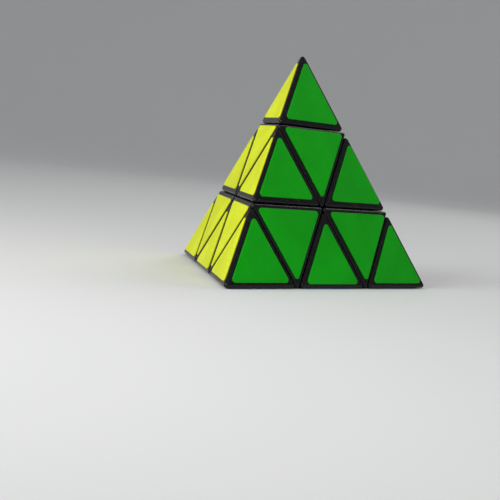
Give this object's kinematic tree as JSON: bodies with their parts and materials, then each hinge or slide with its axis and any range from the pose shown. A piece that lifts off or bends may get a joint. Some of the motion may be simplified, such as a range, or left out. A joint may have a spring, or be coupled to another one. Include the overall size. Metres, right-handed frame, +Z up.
{
  "type": "pyramid twisty puzzle",
  "caption": "Tetrahedral twisty puzzle in black plastic with coloured triangular tiles, whose corner layers and tips turn about a hidden core.",
  "frame": {"origin": "middle of the footprint's bounding box, on the plane that the puzzle stands on", "axes": "+Z up through the plane of the blue face, -Y towards the front vertex, so the yellow face looks to -X and the green face to +X"},
  "size_m": [0.098, 0.0853, 0.0807],
  "materials": {
    "black_plastic": "moulded black with soft rounded edges",
    "tile_yellow": "smooth satin tile",
    "tile_green": "smooth satin tile",
    "tile_red": "smooth satin tile",
    "tile_blue": "smooth satin tile",
    "steel": "plain zinc-plated steel"
  },
  "bodies": {
    "core": {"core": "black_plastic", "screws": "steel", "washers": "steel", "springs": "steel"},
    "top_axial": {"axial_top": "black_plastic", "tile_green_axial_top": "tile_green", "tile_yellow_axial_top": "tile_yellow", "tile_red_axial_top": "tile_red"},
    "top_tip": {"tip_top": "black_plastic", "tip_plug_top": "black_plastic", "tile_green_tip_top": "tile_green", "tile_yellow_tip_top": "tile_yellow", "tile_red_tip_top": "tile_red"},
    "front_axial": {"axial_front": "black_plastic", "tile_green_axial_front": "tile_green", "tile_yellow_axial_front": "tile_yellow", "tile_blue_axial_front": "tile_blue"},
    "front_tip": {"tip_front": "black_plastic", "tip_plug_front": "black_plastic", "tile_green_tip_front": "tile_green", "tile_yellow_tip_front": "tile_yellow", "tile_blue_tip_front": "tile_blue"},
    "right_axial": {"axial_right": "black_plastic", "tile_green_axial_right": "tile_green", "tile_red_axial_right": "tile_red", "tile_blue_axial_right": "tile_blue"},
    "right_tip": {"tip_right": "black_plastic", "tip_plug_right": "black_plastic", "tile_green_tip_right": "tile_green", "tile_red_tip_right": "tile_red", "tile_blue_tip_right": "tile_blue"},
    "left_axial": {"axial_left": "black_plastic", "tile_yellow_axial_left": "tile_yellow", "tile_red_axial_left": "tile_red", "tile_blue_axial_left": "tile_blue"},
    "left_tip": {"tip_left": "black_plastic", "tip_plug_left": "black_plastic", "tile_yellow_tip_left": "tile_yellow", "tile_red_tip_left": "tile_red", "tile_blue_tip_left": "tile_blue"},
    "top_front_edge": {"edge_top_front": "black_plastic", "tile_green_edge_top_front": "tile_green", "tile_yellow_edge_top_front": "tile_yellow"},
    "top_right_edge": {"edge_top_right": "black_plastic", "tile_green_edge_top_right": "tile_green", "tile_red_edge_top_right": "tile_red"},
    "top_left_edge": {"edge_top_left": "black_plastic", "tile_yellow_edge_top_left": "tile_yellow", "tile_red_edge_top_left": "tile_red"},
    "front_right_edge": {"edge_front_right": "black_plastic", "tile_green_edge_front_right": "tile_green", "tile_blue_edge_front_right": "tile_blue"},
    "front_left_edge": {"edge_front_left": "black_plastic", "tile_yellow_edge_front_left": "tile_yellow", "tile_blue_edge_front_left": "tile_blue"},
    "right_left_edge": {"edge_right_left": "black_plastic", "tile_red_edge_right_left": "tile_red", "tile_blue_edge_right_left": "tile_blue"}
  },
  "joints": [
    {"name": "top_layer_turn", "type": "hinge", "parent": "core", "child": "top_axial", "pos_m": [0, 0.01386, 0.0209], "axis": [0, 0, 1], "continuous": true},
    {"name": "front_layer_turn", "type": "hinge", "parent": "core", "child": "front_axial", "pos_m": [0, 0.01386, 0.0209], "axis": [0, -0.9428, -0.3333], "range_deg": [-360, 360]},
    {"name": "right_layer_turn", "type": "hinge", "parent": "core", "child": "right_axial", "pos_m": [0, 0.01386, 0.0209], "axis": [0.8165, 0.4714, -0.3333], "range_deg": [-360, 360]},
    {"name": "left_layer_turn", "type": "hinge", "parent": "core", "child": "left_axial", "pos_m": [0, 0.01386, 0.0209], "axis": [-0.8165, 0.4714, -0.3333], "range_deg": [-360, 360]},
    {"name": "top_tip_turn", "type": "hinge", "parent": "top_axial", "child": "top_tip", "pos_m": [0, 0.01386, 0.0209], "axis": [0, 0, 1], "continuous": true},
    {"name": "front_tip_turn", "type": "hinge", "parent": "front_axial", "child": "front_tip", "pos_m": [0, 0.01386, 0.0209], "axis": [0, -0.9428, -0.3333], "continuous": true},
    {"name": "right_tip_turn", "type": "hinge", "parent": "right_axial", "child": "right_tip", "pos_m": [0, 0.01386, 0.0209], "axis": [0.8165, 0.4714, -0.3333], "continuous": true},
    {"name": "left_tip_turn", "type": "hinge", "parent": "left_axial", "child": "left_tip", "pos_m": [0, 0.01386, 0.0209], "axis": [-0.8165, 0.4714, -0.3333], "continuous": true},
    {"name": "top_front_edge_turn", "type": "hinge", "parent": "top_axial", "child": "top_front_edge", "pos_m": [0, 0.01386, 0.0209], "axis": [0, -0.9428, -0.3333], "range_deg": [-360, 360]},
    {"name": "top_right_edge_turn", "type": "hinge", "parent": "top_axial", "child": "top_right_edge", "pos_m": [0, 0.01386, 0.0209], "axis": [0.8165, 0.4714, -0.3333], "range_deg": [-360, 360]},
    {"name": "top_left_edge_turn", "type": "hinge", "parent": "top_axial", "child": "top_left_edge", "pos_m": [0, 0.01386, 0.0209], "axis": [-0.8165, 0.4714, -0.3333], "range_deg": [-360, 360]},
    {"name": "front_right_edge_turn", "type": "hinge", "parent": "front_axial", "child": "front_right_edge", "pos_m": [0, 0.01386, 0.0209], "axis": [0.8165, 0.4714, -0.3333], "range_deg": [-360, 360]},
    {"name": "right_left_edge_turn", "type": "hinge", "parent": "right_axial", "child": "right_left_edge", "pos_m": [0, 0.01386, 0.0209], "axis": [-0.8165, 0.4714, -0.3333], "range_deg": [-360, 360]},
    {"name": "front_left_edge_turn", "type": "hinge", "parent": "left_axial", "child": "front_left_edge", "pos_m": [0, 0.01386, 0.0209], "axis": [0, -0.9428, -0.3333], "range_deg": [-360, 360]}
  ],
  "couplings": [
    {"joint": "top_front_edge_turn", "follows": "front_layer_turn", "ratio": 1},
    {"joint": "top_right_edge_turn", "follows": "right_layer_turn", "ratio": 1},
    {"joint": "top_left_edge_turn", "follows": "left_layer_turn", "ratio": 1},
    {"joint": "front_right_edge_turn", "follows": "right_layer_turn", "ratio": 1},
    {"joint": "right_left_edge_turn", "follows": "left_layer_turn", "ratio": 1},
    {"joint": "front_left_edge_turn", "follows": "front_layer_turn", "ratio": 1}
  ]
}
